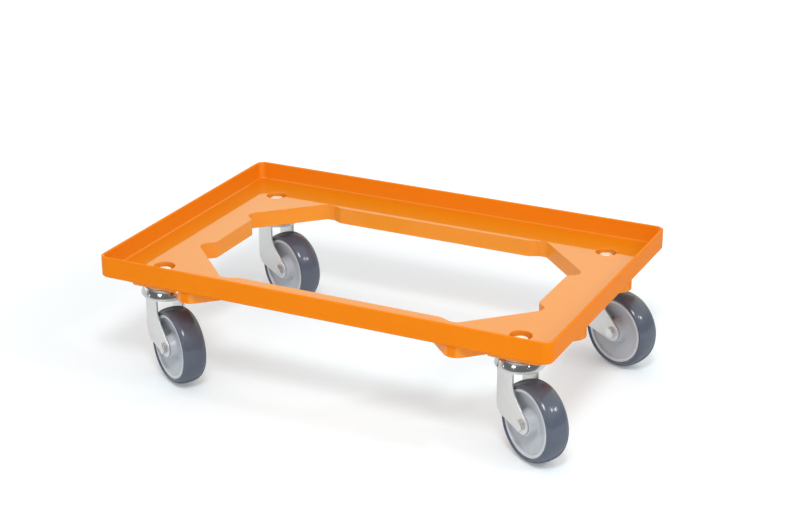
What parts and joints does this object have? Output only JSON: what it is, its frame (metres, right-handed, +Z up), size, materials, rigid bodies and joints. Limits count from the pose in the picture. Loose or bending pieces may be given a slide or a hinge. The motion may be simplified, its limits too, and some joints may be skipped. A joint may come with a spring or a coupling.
{
  "type": "platform dolly",
  "caption": "Low open-frame dolly for stacking crates: a moulded rectangular tray with a raised rim and a large central opening, on swivel castors with tread tyres.",
  "frame": {"origin": "centre of the load face, the tray's upper surface that crates stand on", "axes": "+Z up, square to the load face; +X along the tray's long side; +Y along its short side"},
  "size_m": [0.6288, 0.41, 0.172],
  "materials": {
    "tray": "smooth moulded",
    "zinc": "bright zinc plate",
    "bearing_steel": "polished",
    "bush": "smooth",
    "hub": "satin moulded",
    "tyre": "smooth, slightly shiny"
  },
  "bodies": {
    "deck": {"deck_frame": "tray", "fixing_washers": "zinc", "fixing_nuts": "zinc", "head_plate_front_left": "zinc", "kingpin_front_left": "zinc", "lower_race_front_left": "zinc", "head_plate_front_right": "zinc", "kingpin_front_right": "zinc", "lower_race_front_right": "zinc", "head_plate_rear_left": "zinc", "kingpin_rear_left": "zinc", "lower_race_rear_left": "zinc", "head_plate_rear_right": "zinc", "kingpin_rear_right": "zinc", "lower_race_rear_right": "zinc"},
    "castor_front_left": {"fork_front_left": "zinc", "upper_balls_front_left": "bearing_steel", "lower_balls_front_left": "bearing_steel", "axle_bolt_front_left": "zinc", "axle_nut_front_left": "zinc", "axle_tube_front_left": "zinc"},
    "wheel_front_left": {"wheel_hub_front_left": "hub", "hub_bush_front_left": "bush", "tyre_front_left": "tyre"},
    "castor_front_right": {"fork_front_right": "zinc", "upper_balls_front_right": "bearing_steel", "lower_balls_front_right": "bearing_steel", "axle_bolt_front_right": "zinc", "axle_nut_front_right": "zinc", "axle_tube_front_right": "zinc"},
    "wheel_front_right": {"wheel_hub_front_right": "hub", "hub_bush_front_right": "bush", "tyre_front_right": "tyre"},
    "castor_rear_left": {"fork_rear_left": "zinc", "upper_balls_rear_left": "bearing_steel", "lower_balls_rear_left": "bearing_steel", "axle_bolt_rear_left": "zinc", "axle_nut_rear_left": "zinc", "axle_tube_rear_left": "zinc"},
    "wheel_rear_left": {"wheel_hub_rear_left": "hub", "hub_bush_rear_left": "bush", "tyre_rear_left": "tyre"},
    "castor_rear_right": {"fork_rear_right": "zinc", "upper_balls_rear_right": "bearing_steel", "lower_balls_rear_right": "bearing_steel", "axle_bolt_rear_right": "zinc", "axle_nut_rear_right": "zinc", "axle_tube_rear_right": "zinc"},
    "wheel_rear_right": {"wheel_hub_rear_right": "hub", "hub_bush_rear_right": "bush", "tyre_rear_right": "tyre"}
  },
  "joints": [
    {"name": "swivel_front_left", "type": "hinge", "parent": "deck", "child": "castor_front_left", "pos_m": [-0.245, -0.146, -0.022], "axis": [0, 0, 1], "continuous": true},
    {"name": "roll_front_left", "type": "hinge", "parent": "castor_front_left", "child": "wheel_front_left", "pos_m": [-0.21772, -0.16272, -0.098], "axis": [0.5225, 0.8526, 0], "continuous": true},
    {"name": "swivel_front_right", "type": "hinge", "parent": "deck", "child": "castor_front_right", "pos_m": [0.245, -0.146, -0.022], "axis": [0, 0, 1], "continuous": true},
    {"name": "roll_front_right", "type": "hinge", "parent": "castor_front_right", "child": "wheel_front_right", "pos_m": [0.27214, -0.16296, -0.098], "axis": [0.5299, 0.848, 0], "continuous": true},
    {"name": "swivel_rear_left", "type": "hinge", "parent": "deck", "child": "castor_rear_left", "pos_m": [-0.245, 0.146, -0.022], "axis": [0, 0, 1], "continuous": true},
    {"name": "roll_rear_left", "type": "hinge", "parent": "castor_rear_left", "child": "wheel_rear_left", "pos_m": [-0.216, 0.13248, -0.098], "axis": [0.4226, 0.9063, 0], "continuous": true},
    {"name": "swivel_rear_right", "type": "hinge", "parent": "deck", "child": "castor_rear_right", "pos_m": [0.245, 0.146, -0.022], "axis": [0, 0, 1], "continuous": true},
    {"name": "roll_rear_right", "type": "hinge", "parent": "castor_rear_right", "child": "wheel_rear_right", "pos_m": [0.27467, 0.13401, -0.098], "axis": [0.3746, 0.9272, 0], "continuous": true}
  ]
}
